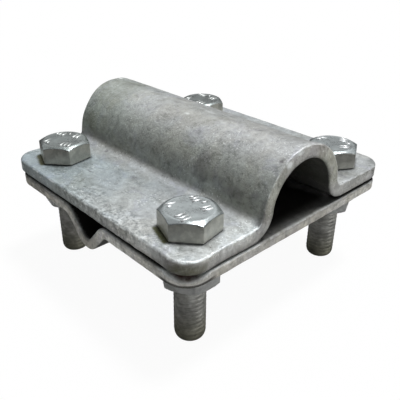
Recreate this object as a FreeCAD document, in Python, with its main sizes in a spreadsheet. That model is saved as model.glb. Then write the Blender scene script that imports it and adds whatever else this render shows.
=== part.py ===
import FreeCAD, Part
import math
import os
import Sketcher

# Rod to wire clamp, in millimetres, +Z up.
# Two pressed steel plates are drawn together by four hexagon bolts and nuts. The upper plate
# bridges an earth rod that runs along X, and the lower plate has a groove for a wire along Y.
# The clamp stands on its four bolt ends, and the origin is the middle of its footprint.

# Driving dimensions
SIZES = {
    # Both plates: length along the rod, width along the wire
    "plate_length": 75.0,
    "plate_width": 76.0,
    "corner_radius": 6.6,
    "upper_thickness": 3.6,
    "lower_thickness": 2.8,
    "plate_gap": 0.7,
    "bolt_pitch_length": 53.6,
    "bolt_pitch_width": 54.0,
    "bolt_hole_clearance": 0.55,
    # Upper plate: the arch over the rod
    "rod_seat_radius": 10.85,
    "rod_seat_rise": 1.3,
    "arch_foot_radius": 3.0,
    # Lower plate: the groove for the wire
    "groove_depth": 6.8,
    "groove_floor_radius": 2.2,
    "groove_lip_radius": 2.9,
    "groove_flank_angle": 48.0,
    # Edges rounded by the press and by the zinc
    "upper_rim_radius": 0.8,
    "upper_burr_radius": 0.3,
    "lower_rim_radius": 0.35,
    "lower_burr_radius": 0.45,
    # The lower plate's near corner, rolled over in shearing
    "corner_roll_length": 2.9,
    "corner_roll_angle": 33.0,
    # Bolts and nuts: the chamfers leave a circle smaller or larger than the flats
    "head_circle_ratio": 0.92,
    "nut_circle_ratio": 1.02,
    "shank_diameter": 7.95,
    "bolt_length": 30.5,
    "tip_chamfer": 0.9,
    "head_height": 5.3,
    "head_across_flats": 13.0,
    "head_chamfer_angle": 30.0,
    "bearing_face_diameter": 11.6,
    "bearing_face_height": 0.3,
    "underhead_radius": 0.35,
    "nut_height": 6.5,
    "nut_across_flats": 13.0,
    "nut_chamfer_angle": 30.0,
    "nut_countersink": 0.5,
    "thread_clearance": 0.05,
    # How far each head and nut is turned about its own axis, in degrees
    "bolt_near_turn": 10.5,
    "bolt_left_turn": 10.0,
    "bolt_right_turn": 29.9,
    "bolt_far_turn": 0.8,
    "nut_near_turn": 57.0,
    "nut_left_turn": 20.0,
    "nut_right_turn": 24.0,
    "nut_far_turn": 20.0,
    # Stock that is cut away: the hexagons' round blank, and how far a cutter reaches
    "blank_ratio": 1.3,
    "cutter_reach": 20.0,
}

# The four bolt positions: the sign of X and of Y
POSITIONS = {
    "near": (1, -1),
    "left": (-1, -1),
    "right": (1, 1),
    "far": (-1, 1),
}

doc = FreeCAD.newDocument("rod_to_wire_clamp")
sheet = doc.addObject("Spreadsheet::Sheet", "sizes")
for row, (name, value) in enumerate(SIZES.items(), start=1):
    sheet.set(f"A{row}", name)
    sheet.set(f"B{row}", str(value))
    sheet.setAlias(f"B{row}", name)
doc.recompute()

# A sketch's own points and axes, as its constraints name them
START, END, CENTRE = range(1, 4)
X_AXIS, Y_AXIS = range(-1, -3, -1)
ORIGIN = (X_AXIS, START)

UP = FreeCAD.Vector(0, 0, 1)

# Where an outline's corners wait, on a circle, until their dimensions place them
WAITING_CENTRE = (10, 10)
WAITING_RADIUS = 8


def sheet_names(expression):
    """Write each size's name in an expression the way the document looks it up."""
    words = expression.replace("(", "( ").replace(")", " )").split(" ")
    return " ".join(f"sizes.{word}" if word in SIZES else word for word in words)


def bind(item, path, expression):
    item.setExpression(path, sheet_names(expression))


def new_body(name):
    body = doc.addObject("PartDesign::Body", name)
    body.Label = name
    return body


def origin_plane(body, role):
    return next(item for item in body.Origin.OriginFeatures if item.Role == role)


def new_sketch(body, name, plane):
    sketch = body.newObject("Sketcher::SketchObject", name)
    sketch.AttachmentSupport = [(origin_plane(body, plane), "")]
    sketch.MapMode = "FlatFace"
    return sketch


def dimension(sketch, kind, *where, expression):
    """Add a driving dimension at its present value and bind it to the sheet."""
    value = sketch.evalExpression(sheet_names(expression))
    number = value.getValueAs("rad").Value if kind == "Angle" else float(value)
    index = sketch.addConstraint(Sketcher.Constraint(kind, *where, number))
    name = f"dimension_{index}"
    sketch.renameConstraint(index, name)
    bind(sketch, f"Constraints.{name}", expression)


def relate(sketch, kind, *where):
    sketch.addConstraint(Sketcher.Constraint(kind, *where))


def solid_from(body, kind, sketch, name):
    feature = body.newObject(f"PartDesign::{kind}", name)
    feature.Profile = sketch
    return feature


def cut_through(body, sketch, name):
    """Cut the sketch's area right through the body, both ways, and make sure that it cut."""
    doc.recompute()
    before = body.Shape.Volume
    pocket = solid_from(body, "Pocket", sketch, name)
    pocket.Type = "ThroughAll"
    pocket.Midplane = True
    doc.recompute()
    if body.Shape.Volume >= before:
        raise RuntimeError(f"{name} cuts nothing")


def rounded(body, name, edges, expression):
    """Round the listed edges of the body's last shape."""
    doc.recompute()
    base = body.Tip
    fillet = body.newObject("PartDesign::Fillet", name)
    fillet.Base = (base, edges)
    bind(fillet, "Radius", expression)
    doc.recompute()


def edge_names(shape, wanted):
    return [f"Edge{number}" for number, edge in enumerate(shape.Edges, start=1) if wanted(edge)]


# Sheet metal profiles

def line(start, end):
    """A run's straight stretch, with the ends that it is joined at."""
    points = [FreeCAD.Vector(*point, 0) for point in (start, end)]
    return Part.LineSegment(*points), START, END


def arc(centre, radius, from_angle, to_angle):
    """A run's bend from one angle to the other, in degrees; arcs are stored anticlockwise."""
    circle = Part.Circle(FreeCAD.Vector(*centre, 0), UP, radius)
    low, high = sorted(math.radians(angle) for angle in (from_angle, to_angle))
    ends = (START, END) if from_angle < to_angle else (END, START)
    return Part.ArcOfCircle(circle, low, high), *ends


def polar(centre, radius, angle):
    turn = math.radians(angle)
    return centre[0] + radius * math.cos(turn), centre[1] + radius * math.sin(turn)


def arch_run(below):
    """The arch's skin at a depth below its upper one, from left to right."""
    half = SIZES["plate_width"] / 2
    foot = SIZES["arch_foot_radius"] + below
    crown = SIZES["rod_seat_radius"] + SIZES["upper_thickness"] - below
    rise = SIZES["rod_seat_rise"]
    centre_height = SIZES["arch_foot_radius"]
    centre_out = math.sqrt((crown + foot) ** 2 - (centre_height - rise) ** 2)
    spring = math.degrees(math.atan2(centre_height - rise, centre_out))
    left, right = (-centre_out, centre_height), (centre_out, centre_height)
    return [
        line((-half, -below), (-centre_out, -below)),
        arc(left, foot, -90, -spring),
        arc((0, rise), crown, 180 - spring, spring),
        arc(right, foot, 180 + spring, 270),
        line((centre_out, -below), (half, -below)),
    ]


def groove_run(below):
    """The groove's skin at a depth below its upper one, from left to right."""
    half = SIZES["plate_length"] / 2
    flank = SIZES["groove_flank_angle"]
    turn = math.radians(flank)
    lip_centre = SIZES["groove_lip_radius"] + SIZES["lower_thickness"]
    lip = lip_centre - below
    floor = SIZES["groove_floor_radius"] + below
    floor_height = SIZES["groove_floor_radius"] - SIZES["groove_depth"]
    drop = -lip_centre - floor_height
    lip_out = (drop * math.cos(turn) + lip + floor) / math.sin(turn)
    left, right, middle = (-lip_out, -lip_centre), (lip_out, -lip_centre), (0, floor_height)
    return [
        line((-half, -below), (-lip_out, -below)),
        arc(left, lip, 90, 90 - flank),
        line(polar(left, lip, 90 - flank), polar(middle, floor, 270 - flank)),
        arc(middle, floor, 270 - flank, 270 + flank),
        line(polar(middle, floor, 270 + flank), polar(right, lip, 90 + flank)),
        arc(right, lip, 90 + flank, 90),
        line((lip_out, -below), (half, -below)),
    ]


def draw_run(sketch, run):
    """Add one skin's stretches, each tangent to the next; returns their numbers."""
    numbers = [sketch.addGeometry(piece, False) for piece, _, _ in run]
    for step in range(len(run) - 1):
        relate(sketch, "Tangent", numbers[step], run[step][2], numbers[step + 1], run[step + 1][1])
    relate(sketch, "Horizontal", numbers[0])
    relate(sketch, "Horizontal", numbers[-1])
    return numbers


def draw_sheet(sketch, run_at, thickness, width):
    """Draw a bent sheet's section: two parallel skins, closed by upright ends."""
    upper, under = run_at(0.0), run_at(SIZES[thickness])
    top = draw_run(sketch, upper)
    bottom = draw_run(sketch, under)
    for step, (piece, _, _) in enumerate(upper):
        if isinstance(piece, Part.ArcOfCircle):
            relate(sketch, "Coincident", top[step], CENTRE, bottom[step], CENTRE)
    for step, corner in ((0, START), (-1, END)):
        edges = (upper[step][0], under[step][0])
        ends = [edge.StartPoint if corner == START else edge.EndPoint for edge in edges]
        side = sketch.addGeometry(Part.LineSegment(*ends), False)
        relate(sketch, "Coincident", top[step], corner, side, START)
        relate(sketch, "Coincident", bottom[step], corner, side, END)
        relate(sketch, "Vertical", side)
    relate(sketch, "PointOnObject", top[0], START, X_AXIS)
    dimension(sketch, "DistanceX", top[0], START, *ORIGIN, expression=f"{width} / 2")
    dimension(sketch, "DistanceX", *ORIGIN, top[-1], END, expression=f"{width} / 2")
    dimension(sketch, "DistanceY", bottom[0], START, *ORIGIN, expression=thickness)
    middle = len(top) // 2
    relate(sketch, "PointOnObject", top[middle], CENTRE, Y_AXIS)
    return top, bottom


def bend_sheet(body, sketch, name, length):
    pad = solid_from(body, "Pad", sketch, name)
    pad.Midplane = True
    bind(pad, "Length", length)
    doc.recompute()


def round_corners(body, name):
    """Round the flange's four upright corners in plan."""
    doc.recompute()

    def upright(edge):
        return isinstance(edge.Curve, Part.Line) and abs(edge.tangentAt(edge.FirstParameter).z) > 0.999

    rounded(body, name, edge_names(body.Shape, upright), "corner_radius")


def rim(shape, facing):
    """The edges between the upright walls round the outside and the skin that faces up or down."""

    def slope(face):
        first, last, low, high = face.ParameterRange
        return face.normalAt((first + last) / 2, (low + high) / 2).z

    def on_rim(edge):
        slopes = [slope(face) for face in shape.ancestorsOfType(edge, Part.Face)]
        wall = any(abs(value) < 1e-6 for value in slopes)
        return wall and not edge.isClosed() and any(value * facing > 1e-6 for value in slopes)

    return edge_names(shape, on_rim)


def bolt_holes(body, name):
    """Four round clearance holes on the bolt pattern."""
    sketch = new_sketch(body, f"{name}_sketch", "XY_Plane")
    half_length, half_width = SIZES["bolt_pitch_length"] / 2, SIZES["bolt_pitch_width"] / 2
    for side_x, side_y in POSITIONS.values():
        centre = FreeCAD.Vector(side_x * half_length, side_y * half_width, 0)
        hole = sketch.addGeometry(Part.Circle(centre, UP, SIZES["shank_diameter"] / 2), False)
        across = (*ORIGIN, hole, CENTRE) if side_x > 0 else (hole, CENTRE, *ORIGIN)
        along = (*ORIGIN, hole, CENTRE) if side_y > 0 else (hole, CENTRE, *ORIGIN)
        dimension(sketch, "DistanceX", *across, expression="bolt_pitch_length / 2")
        dimension(sketch, "DistanceY", *along, expression="bolt_pitch_width / 2")
        dimension(sketch, "Radius", hole, expression="shank_diameter / 2 + bolt_hole_clearance")
    cut_through(body, sketch, name)


# Upper plate: flat flanges along both sides of an arch that seats the rod

def make_upper_plate():
    body = new_body("upper_plate")
    sketch = new_sketch(body, "arch_section", "YZ_Plane")
    top, bottom = draw_sheet(sketch, arch_run, "upper_thickness", "plate_width")
    left_foot, crown, right_foot = top[1], top[2], top[3]
    relate(sketch, "Symmetric", left_foot, CENTRE, right_foot, CENTRE, Y_AXIS)
    dimension(sketch, "DistanceY", *ORIGIN, crown, CENTRE, expression="rod_seat_rise")
    dimension(sketch, "Radius", bottom[2], expression="rod_seat_radius")
    dimension(sketch, "Radius", left_foot, expression="arch_foot_radius")
    bend_sheet(body, sketch, "arched_plate", "plate_length")
    bolt_holes(body, "upper_bolt_holes")
    round_corners(body, "upper_corners")
    rounded(body, "upper_rim", rim(body.Shape, 1), "upper_rim_radius")
    rounded(body, "upper_burr", rim(body.Shape, -1), "upper_burr_radius")
    bind(body, "Placement.Base.z", "bolt_length")
    return body


# Lower plate: flat flanges beside a rounded V groove that seats the wire

def roll_corner(body):
    """Bevel the near corner's upper edge, where shearing pulled the sheet down."""
    sketch = new_sketch(body, "corner_roll_section", "XZ_Plane")
    towards_corner = FreeCAD.Rotation(FreeCAD.Vector(0, 1, 0), -45)
    sketch.AttachmentOffset = FreeCAD.Placement(FreeCAD.Vector(), towards_corner)
    out = "(plate_length / 2 + plate_width / 2 - 2 * corner_radius) * sqrt(0.5) + corner_radius"
    fall = "cutter_reach * tan(corner_roll_angle * 1deg)"
    reach = SIZES["cutter_reach"]
    points = [
        FreeCAD.Vector(across, up, 0)
        for across, up in ((2 * reach, 0), (3 * reach, 0), (3 * reach, -reach / 2))
    ]
    top, side, slope = [
        sketch.addGeometry(Part.LineSegment(points[step], points[(step + 1) % 3]), False)
        for step in range(3)
    ]
    for before, after in ((top, side), (side, slope), (slope, top)):
        relate(sketch, "Coincident", before, END, after, START)
    relate(sketch, "PointOnObject", top, START, X_AXIS)
    relate(sketch, "PointOnObject", top, END, X_AXIS)
    relate(sketch, "Vertical", side)
    dimension(sketch, "DistanceX", *ORIGIN, top, START, expression=f"{out} - corner_roll_length")
    dimension(sketch, "DistanceX", top, START, top, END, expression="cutter_reach")
    dimension(sketch, "DistanceY", side, END, *ORIGIN, expression=fall)
    cut_through(body, sketch, "rolled_corner")


def make_lower_plate():
    body = new_body("lower_plate")
    sketch = new_sketch(body, "groove_section", "XZ_Plane")
    top, bottom = draw_sheet(sketch, groove_run, "lower_thickness", "plate_length")
    left_lip, left_flank, floor, right_flank, right_lip = top[1:6]
    relate(sketch, "Symmetric", left_lip, CENTRE, right_lip, CENTRE, Y_AXIS)
    relate(sketch, "Equal", left_lip, right_lip)
    relate(sketch, "Parallel", left_flank, bottom[2])
    relate(sketch, "Parallel", right_flank, bottom[4])
    dimension(sketch, "DistanceY", floor, CENTRE, *ORIGIN, expression="groove_depth - groove_floor_radius")
    dimension(sketch, "Radius", floor, expression="groove_floor_radius")
    dimension(sketch, "Radius", bottom[1], expression="groove_lip_radius")
    dimension(sketch, "Angle", right_flank, expression="groove_flank_angle * 1deg")
    bend_sheet(body, sketch, "grooved_plate", "plate_width")
    bolt_holes(body, "lower_bolt_holes")
    round_corners(body, "lower_corners")
    rounded(body, "lower_rim", rim(body.Shape, 1), "lower_rim_radius")
    rounded(body, "lower_burr", rim(body.Shape, -1), "lower_burr_radius")
    roll_corner(body)
    bind(body, "Placement.Base.z", "bolt_length - upper_thickness - plate_gap")
    return body


# Bolts and nuts: a turned blank with its chamfers, then six flats cut from it

def draw_outline(sketch, corners):
    """Draw a closed outline whose corners are each placed by two driving dimensions."""
    count = len(corners)
    starts = [
        FreeCAD.Vector(*polar(WAITING_CENTRE, WAITING_RADIUS, 360 * step / count), 0)
        for step in range(count)
    ]
    sides = [
        sketch.addGeometry(Part.LineSegment(starts[step], starts[(step + 1) % count]), False)
        for step in range(count)
    ]
    for step, (across, up) in enumerate(corners):
        relate(sketch, "Coincident", sides[step - 1], END, sides[step], START)
        dimension(sketch, "DistanceX", *ORIGIN, sides[step], START, expression=across)
        dimension(sketch, "DistanceY", *ORIGIN, sides[step], START, expression=up)


def turn_blank(body, name, corners):
    sketch = new_sketch(body, f"{name}_section", "XZ_Plane")
    draw_outline(sketch, corners)
    blank = solid_from(body, "Revolution", sketch, name)
    blank.ReferenceAxis = (sketch, ["V_Axis"])
    blank.Angle = 360
    doc.recompute()


def cut_flats(body, name, across_flats):
    """Cut away all that lies outside a hexagon."""
    sketch = new_sketch(body, f"{name}_sketch", "XY_Plane")
    ring = sketch.addGeometry(Part.Circle(FreeCAD.Vector(), UP, SIZES["cutter_reach"]), False)
    guide_radius = SIZES[across_flats] / math.sqrt(3)
    guide = sketch.addGeometry(Part.Circle(FreeCAD.Vector(), UP, guide_radius), True)
    for circle in (ring, guide):
        relate(sketch, "Coincident", circle, CENTRE, *ORIGIN)
    dimension(sketch, "Radius", ring, expression="cutter_reach")
    dimension(sketch, "Radius", guide, expression=f"{across_flats} / sqrt(3)")
    corners = [
        FreeCAD.Vector(*polar((0, 0), guide_radius, 60 * step + 30), 0) for step in range(6)
    ]
    flats = [
        sketch.addGeometry(Part.LineSegment(corners[step - 1], corners[step]), False)
        for step in range(6)
    ]
    for step in range(6):
        relate(sketch, "Coincident", flats[step - 1], END, flats[step], START)
        relate(sketch, "PointOnObject", flats[step], START, guide)
        if step:
            relate(sketch, "Equal", flats[0], flats[step])
    relate(sketch, "PointOnObject", flats[1], END, Y_AXIS)
    cut_through(body, sketch, name)


def place_on_pattern(body, position, height, turn):
    side_x, side_y = POSITIONS[position]
    bind(body, "Placement.Base.x", f"{side_x} * bolt_pitch_length / 2")
    bind(body, "Placement.Base.y", f"{side_y} * bolt_pitch_width / 2")
    bind(body, "Placement.Base.z", height)
    body.Placement.Rotation = FreeCAD.Rotation(UP, SIZES[turn])
    bind(body, "Placement.Rotation.Angle", f"{turn} * 1deg")


def make_bolt(position):
    """A hexagon bolt with a bearing face under its head; it stands on its chamfered tip."""
    body = new_body(f"bolt_{position}")
    blank = "head_across_flats / 2 * blank_ratio"
    crown = "head_across_flats / 2 * head_circle_ratio"
    slope = "tan(head_chamfer_angle * 1deg)"
    turn_blank(body, f"bolt_{position}_blank", [
        ("0", "0"),
        ("shank_diameter / 2 - tip_chamfer", "0"),
        ("shank_diameter / 2", "tip_chamfer"),
        ("shank_diameter / 2", "bolt_length"),
        ("bearing_face_diameter / 2", "bolt_length"),
        ("bearing_face_diameter / 2", "bolt_length + bearing_face_height"),
        (blank, "bolt_length + bearing_face_height"),
        (blank, f"bolt_length + head_height - ({blank} - {crown}) * {slope}"),
        (crown, "bolt_length + head_height"),
        ("0", "bolt_length + head_height"),
    ])
    cut_flats(body, f"bolt_{position}_flats", "head_across_flats")

    def under_head(edge):
        if not isinstance(edge.Curve, Part.Circle):
            return False
        on_shank = abs(edge.Curve.Radius - SIZES["shank_diameter"] / 2) < 1e-6
        return on_shank and abs(edge.Curve.Center.z - SIZES["bolt_length"]) < 1e-6

    rounded(body, f"bolt_{position}_neck", edge_names(body.Shape, under_head), "underhead_radius")
    place_on_pattern(body, position, "0", f"bolt_{position}_turn")
    return body


def make_nut(position):
    """A hexagon nut, chamfered and countersunk on both faces."""
    body = new_body(f"nut_{position}")
    bore = "(shank_diameter / 2 + thread_clearance)"
    blank = "nut_across_flats / 2 * blank_ratio"
    crown = "nut_across_flats / 2 * nut_circle_ratio"
    drop = f"({blank} - {crown}) * tan(nut_chamfer_angle * 1deg)"
    turn_blank(body, f"nut_{position}_blank", [
        (bore, "nut_countersink"),
        (f"{bore} + nut_countersink", "0"),
        (crown, "0"),
        (blank, drop),
        (blank, f"nut_height - {drop}"),
        (crown, "nut_height"),
        (f"{bore} + nut_countersink", "nut_height"),
        (bore, "nut_height - nut_countersink"),
    ])
    cut_flats(body, f"nut_{position}_flats", "nut_across_flats")
    seat = "bolt_length - upper_thickness - plate_gap - lower_thickness - nut_height"
    place_on_pattern(body, position, seat, f"nut_{position}_turn")
    return body


pieces = [make_upper_plate(), make_lower_plate()]
pieces += [make_bolt(position) for position in POSITIONS]
pieces += [make_nut(position) for position in POSITIONS]
doc.recompute()

# Every feature has to be sound before anything is written
for item in doc.Objects:
    if "Invalid" in item.State or "Error" in item.State:
        raise RuntimeError(f"{item.Name} failed: {item.State}")
for piece in pieces:
    if piece.Shape.isNull() or not piece.Shape.isValid() or len(piece.Shape.Solids) != 1:
        raise RuntimeError(f"{piece.Label} is not one sound solid")

os.makedirs("parts", exist_ok=True)
for piece in pieces:
    piece.Shape.exportStep(f"parts/{piece.Label}.step")
    box = piece.Shape.BoundBox
    print(f"{piece.Label}: {piece.Shape.Volume:.1f} mm3, z {box.ZMin:.2f} to {box.ZMax:.2f}")
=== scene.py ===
import math

import bmesh
import bpy
import numpy as np
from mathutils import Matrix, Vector
from mathutils.geometry import delaunay_2d_cdt


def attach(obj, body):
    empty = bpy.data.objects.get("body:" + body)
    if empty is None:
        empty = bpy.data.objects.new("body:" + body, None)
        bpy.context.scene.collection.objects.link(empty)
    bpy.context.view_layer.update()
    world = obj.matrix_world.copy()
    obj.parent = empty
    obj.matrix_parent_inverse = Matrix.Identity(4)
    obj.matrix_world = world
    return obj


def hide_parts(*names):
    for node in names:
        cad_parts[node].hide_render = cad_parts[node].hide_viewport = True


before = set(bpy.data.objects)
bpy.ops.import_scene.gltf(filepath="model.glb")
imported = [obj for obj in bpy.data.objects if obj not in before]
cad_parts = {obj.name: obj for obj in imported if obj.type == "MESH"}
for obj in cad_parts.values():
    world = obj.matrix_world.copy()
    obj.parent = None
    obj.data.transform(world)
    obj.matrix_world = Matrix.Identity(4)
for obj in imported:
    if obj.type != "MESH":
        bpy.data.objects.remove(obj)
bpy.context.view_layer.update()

# A millimetre in metres, and the solids' sizes in millimetres
MM = 0.001
PLATE_X, PLATE_Y, CORNER = 75.0, 76.0, 6.6
UPPER_THICK, LOWER_THICK = 3.6, 2.8
FLANGE_TOP, LOWER_TOP, CROWN_TOP = 30.5, 26.2, 46.23
PITCH_X, PITCH_Y = 53.6, 54.0
HOLE, HOLE_RIM, HOLE_BURR = 4.525, 0.35, 0.25
ARCH_RADIUS, ARCH_RISE, FOOT_RADIUS = 10.85, 1.3, 3.0
GROOVE_DEPTH, FLOOR_RADIUS, LIP_RADIUS, FLANK_TURN = 6.8, 2.2, 2.9, 48.0
HEAD_TOP, NUT_LOW, NUT_TOP, HALF_FLATS = FLANGE_TOP + 5.3, 16.9, 23.4, 6.5
# Name: place in x and y, how far the head and the nut are turned
BOLTS = {
    "near": (PITCH_X / 2, -PITCH_Y / 2, 10.5, 57.0),
    "left": (-PITCH_X / 2, -PITCH_Y / 2, 10.0, 20.0),
    "right": (PITCH_X / 2, PITCH_Y / 2, 29.9, 24.0),
    "far": (-PITCH_X / 2, PITCH_Y / 2, 0.8, 20.0),
}
# How far apart the points on the plates are
SPACING = 0.56


# Seeded smooth noise, for shapes

def lattice(cells, seed):
    number = cells[:, 0] * 374761393 + cells[:, 1] * 668265263 + cells[:, 2] * 1440670441
    number = (number + seed * 1274126177) & 0xFFFFFFFF
    number = ((number ^ (number >> 13)) * 1274126177) & 0xFFFFFFFF
    return ((number ^ (number >> 16)) & 0xFFFFFF) / 0xFFFFFF


def noise(points, size, seed=0):
    """Smooth random values from -1 to 1, with bumps of about the given size."""
    base = np.floor(points / size).astype(np.int64)
    part = points / size - base
    part = part * part * (3 - 2 * part)
    total = np.zeros(len(points))
    for corner in range(8):
        step = np.array([(corner >> axis) & 1 for axis in range(3)])
        total += np.prod(np.where(step, part, 1 - part), axis=1) * lattice(base + step, seed)
    return total * 2 - 1


def ease(value, low, high):
    """0 below low, 1 above high, and smooth between them."""
    part = np.clip((value - low) / (high - low), 0, 1)
    return part * part * (3 - 2 * part)


def blob(points, centre, reach):
    """1 at a centre, falling smoothly to 0 at the reach along each axis."""
    away = np.sqrt((((points - np.array(centre)) / np.array(reach)) ** 2).sum(axis=1))
    return 1 - ease(away, 0.35, 1.0)


# Pieces

def add_object(name, data):
    item = bpy.data.objects.new(name, data)
    bpy.context.scene.collection.objects.link(item)
    return item


def new_mesh(name, points, faces, material):
    mesh = bpy.data.meshes.new(name)
    mesh.from_pydata(np.asarray(points).tolist(), [], faces)
    mesh.materials.append(material)
    return mesh


def add_layer(mesh, name, values):
    """Colours on a mesh's points, which its material reads by the layer's name."""
    layer = mesh.attributes.new(name, "FLOAT_COLOR", "POINT")
    layer.data.foreach_set("color", np.ascontiguousarray(values, dtype=np.float32).ravel())


def make_piece(name, points, faces, material, node, body, masks=None):
    mesh = new_mesh(name, points * MM, faces, material)
    mesh.shade_smooth()
    if masks is None:
        tidy = bmesh.new()
        tidy.from_mesh(mesh)
        bmesh.ops.remove_doubles(tidy, verts=tidy.verts, dist=1e-6)
        bmesh.ops.recalc_face_normals(tidy, faces=tidy.faces)
        tidy.to_mesh(mesh)
        tidy.free()
    else:
        add_layer(mesh, "masks", masks)
    piece = add_object(name, mesh)
    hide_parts(node)
    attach(piece, body)
    return piece


def join(*parts):
    """Several (points, faces) as one list of each."""
    points, faces, base = [], [], 0
    for some_points, some_faces in parts:
        points.append(np.asarray(some_points))
        faces += [[index + base for index in face] for face in some_faces]
        base += len(some_points)
    return np.vstack(points), faces


def vertex_normals(points, faces):
    triangles = np.array([(face[0], face[step], face[step + 1])
                          for face in faces for step in range(1, len(face) - 1)])
    corners = points[triangles]
    across = np.cross(corners[:, 1] - corners[:, 0], corners[:, 2] - corners[:, 0])
    normals = np.zeros_like(points)
    for corner in range(3):
        np.add.at(normals, triangles[:, corner], across)
    return normals / np.maximum(np.linalg.norm(normals, axis=1, keepdims=True), 1e-12)


# Bent sheets: a flat blank with rounded rims and holes, laid along a bend's middle skin

class Bend:
    """A section's middle skin, from its start and its runs of (length, turn in degrees)."""

    def __init__(self, start, runs):
        self.starts, self.points, self.headings, self.curls = [], [], [], []
        point, heading, along = np.array(start, dtype=float), 0.0, 0.0
        for length, turn in runs:
            curl = math.radians(turn) / length
            self.starts.append(along)
            self.points.append(point)
            self.headings.append(heading)
            self.curls.append(curl)
            along += length
            point = point + self.reach(heading, curl, length)
            heading += math.radians(turn)
        self.length = along

    @staticmethod
    def reach(heading, curl, length):
        """How far a run gets, for one run or arrays of them."""
        curl = np.where(np.abs(curl) < 1e-9, 1e-9, curl)
        end = heading + curl * length
        return np.stack([(np.sin(end) - np.sin(heading)) / curl,
                         (np.cos(heading) - np.cos(end)) / curl], axis=-1)

    def place(self, along, off):
        """Where a point lies, from how far along the middle skin it is and how far above it."""
        step = np.clip(np.searchsorted(self.starts, along, side="right") - 1, 0, None)
        rest = along - np.array(self.starts)[step]
        heading = np.array(self.headings)[step]
        curl = np.array(self.curls)[step]
        spot = np.array(self.points)[step] + self.reach(heading, curl, rest)
        turn = heading + curl * rest
        return spot + np.stack([-np.sin(turn), np.cos(turn)], axis=-1) * off[:, None]


def rounded_outline(half_u, half_v, radii, spacing):
    """Points and outward directions once round a rectangle, its corners rounded each in its own way."""
    centres = [np.array([sign_u * (half_u - radius), sign_v * (half_v - radius)])
               for (sign_u, sign_v), radius in zip(((1, 1), (-1, 1), (-1, -1), (1, -1)), radii)]
    points, outward = [], []
    for quarter, (centre, radius) in enumerate(zip(centres, radii)):
        steps = max(2, round(radius * math.pi / 2 / spacing))
        for step in range(steps + 1):
            angle = (quarter + step / steps) * math.pi / 2
            way = np.array([math.cos(angle), math.sin(angle)])
            points.append(centre + way * radius)
            outward.append(way)
        start, end = points[-1], centres[(quarter + 1) % 4] + way * radii[(quarter + 1) % 4]
        steps = round(np.linalg.norm(end - start) / spacing)
        for step in range(1, steps):
            points.append(start + (end - start) * step / steps)
            outward.append(way)
    return np.array(points), np.array(outward)


def within(points, loop):
    """Which points lie inside a closed loop."""
    crossings = np.zeros(len(points), dtype=int)
    for (u0, v0), (u1, v1) in zip(loop, np.roll(loop, -1, axis=0)):
        spans = (points[:, 1] < v0) != (points[:, 1] < v1)
        if v0 != v1:
            crossings += spans & (points[:, 0] < u0 + (points[:, 1] - v0) / (v1 - v0) * (u1 - u0))
    return crossings % 2 == 1


def nearest(points, loop):
    """How far each point is from a loop's nearest point."""
    away = [np.linalg.norm(some[:, None] - loop[None], axis=2).min(axis=1)
            for some in np.array_split(points, max(1, len(points) // 1500))]
    return np.concatenate(away)


def blank_loops(half_u, half_v, holes, radii, rim, burr, ragged):
    """The outline and the holes: points, ways out, and how round the top and the under edge are."""
    edge, outward = rounded_outline(half_u, half_v, radii, SPACING * 0.8)
    flat = np.column_stack([edge, np.zeros(len(edge))])
    wear = np.maximum(1 + noise(flat, 5.0, 3) + 0.6 * noise(flat, 1.7, 4), 0)
    edge = edge - outward * (ragged * wear)[:, None] / 2
    loops = [(edge, outward, rim(edge), rim(edge) * burr)]
    turn = np.linspace(0, 2 * math.pi, 56, endpoint=False)[::-1]
    spokes = np.column_stack([np.cos(turn), np.sin(turn)])
    for hole in holes:
        loops.append((np.array(hole) + spokes * HOLE, -spokes,
                      np.full(len(turn), HOLE_RIM), np.full(len(turn), HOLE_BURR)))
    return loops


def blank_skin(half_u, half_v, inner, holes):
    """The flat's points and triangles, and where the points of its inner loops went."""
    grid = np.array([(u, v) for row, v in enumerate(np.arange(-half_v, half_v, SPACING * math.sqrt(3) / 2))
                     for u in np.arange(-half_u + (row % 2) * SPACING / 2, half_u, SPACING)])
    keep = within(grid, inner[0]) & (nearest(grid, inner[0]) > SPACING * 0.45)
    for hole in holes:
        keep &= np.linalg.norm(grid - np.array(hole), axis=1) > HOLE + HOLE_RIM + SPACING * 0.5
    flat_points = np.vstack(inner + [grid[keep]])
    edges, base = [], 0
    for loop in inner:
        count = len(loop)
        edges += [(base + step, base + (step + 1) % count) for step in range(count)]
        base += count
    verts, _, triangles, origins, _, _ = delaunay_2d_cdt(
        [Vector(point) for point in flat_points.tolist()], edges, [], 0, 1e-6)
    skin = np.array([tuple(vert) for vert in verts])
    new_place = {old: new for new, olds in enumerate(origins) for old in olds}
    centres = skin[np.array(triangles)].mean(axis=1)
    inside = within(centres, inner[0])
    for hole in holes:
        inside &= np.linalg.norm(centres - np.array(hole), axis=1) > HOLE + 0.3
    return skin, [list(triangle) for triangle, wanted in zip(triangles, inside) if wanted], new_place


def rim_rows(thickness, top_round, under_round):
    """From the top skin to the under one: how far out, how deep and how much of an edge each row is."""
    profile = []
    for step in range(1, 7):
        turn = step / 6 * math.pi / 2
        profile.append((-top_round * (1 - math.sin(turn)), top_round * (1 - math.cos(turn)),
                        float(ease(step / 6, 0.35, 1.0))))
    wall = thickness - top_round - under_round
    steps = max(2, round(wall.mean() / (SPACING * 0.8)))
    profile += [(0 * wall, top_round + wall * step / steps, 1.0) for step in range(1, steps)]
    for step in range(5):
        turn = step / 4 * math.pi / 2
        profile.append((-under_round * (1 - math.cos(turn)),
                        thickness - under_round * (1 - math.sin(turn)), 1.0))
    return profile


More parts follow.
